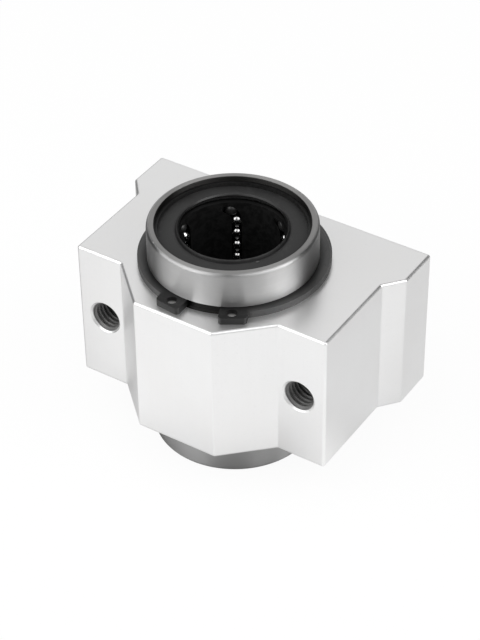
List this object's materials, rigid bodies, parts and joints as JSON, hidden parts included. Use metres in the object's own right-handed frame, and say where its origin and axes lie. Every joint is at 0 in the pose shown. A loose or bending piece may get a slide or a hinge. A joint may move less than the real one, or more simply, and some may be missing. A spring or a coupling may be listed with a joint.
{
  "type": "linear bearing block",
  "caption": "Short aluminium pillow block that carries a ball bushing for a 25 mm round shaft, held by two retaining rings, with threaded mounting holes in its ears.",
  "frame": {"origin": "on the bearing axis, half way along the bushing", "axes": "+Z along the bearing axis, +Y out of the mounting face, +X across the block from one mounting hole to the other"},
  "size_m": [0.076, 0.0515, 0.059],
  "materials": {
    "extruded_aluminium": "matte, finely brushed and clear anodised",
    "bearing_steel": "ground",
    "cage_plastic": "black moulded",
    "seal_rubber": "dark grey nitrile rubber",
    "blackened_spring_steel": "black oxide",
    "ball_steel": "polished"
  },
  "bodies": {
    "root": {"housing_block": "extruded_aluminium", "bearing_sleeve": "bearing_steel", "ball_cage": "cage_plastic", "upper_seal": "seal_rubber", "lower_seal": "seal_rubber", "upper_snap_ring": "blackened_spring_steel", "lower_snap_ring": "blackened_spring_steel", "upper_retaining_ring": "blackened_spring_steel", "lower_retaining_ring": "blackened_spring_steel", "loaded_balls_1": "ball_steel", "return_balls_1": "ball_steel", "loaded_balls_2": "ball_steel", "return_balls_2": "ball_steel", "loaded_balls_3": "ball_steel", "return_balls_3": "ball_steel", "loaded_balls_4": "ball_steel", "return_balls_4": "ball_steel", "loaded_balls_5": "ball_steel", "return_balls_5": "ball_steel", "loaded_balls_6": "ball_steel", "return_balls_6": "ball_steel"}
  },
  "joints": []
}
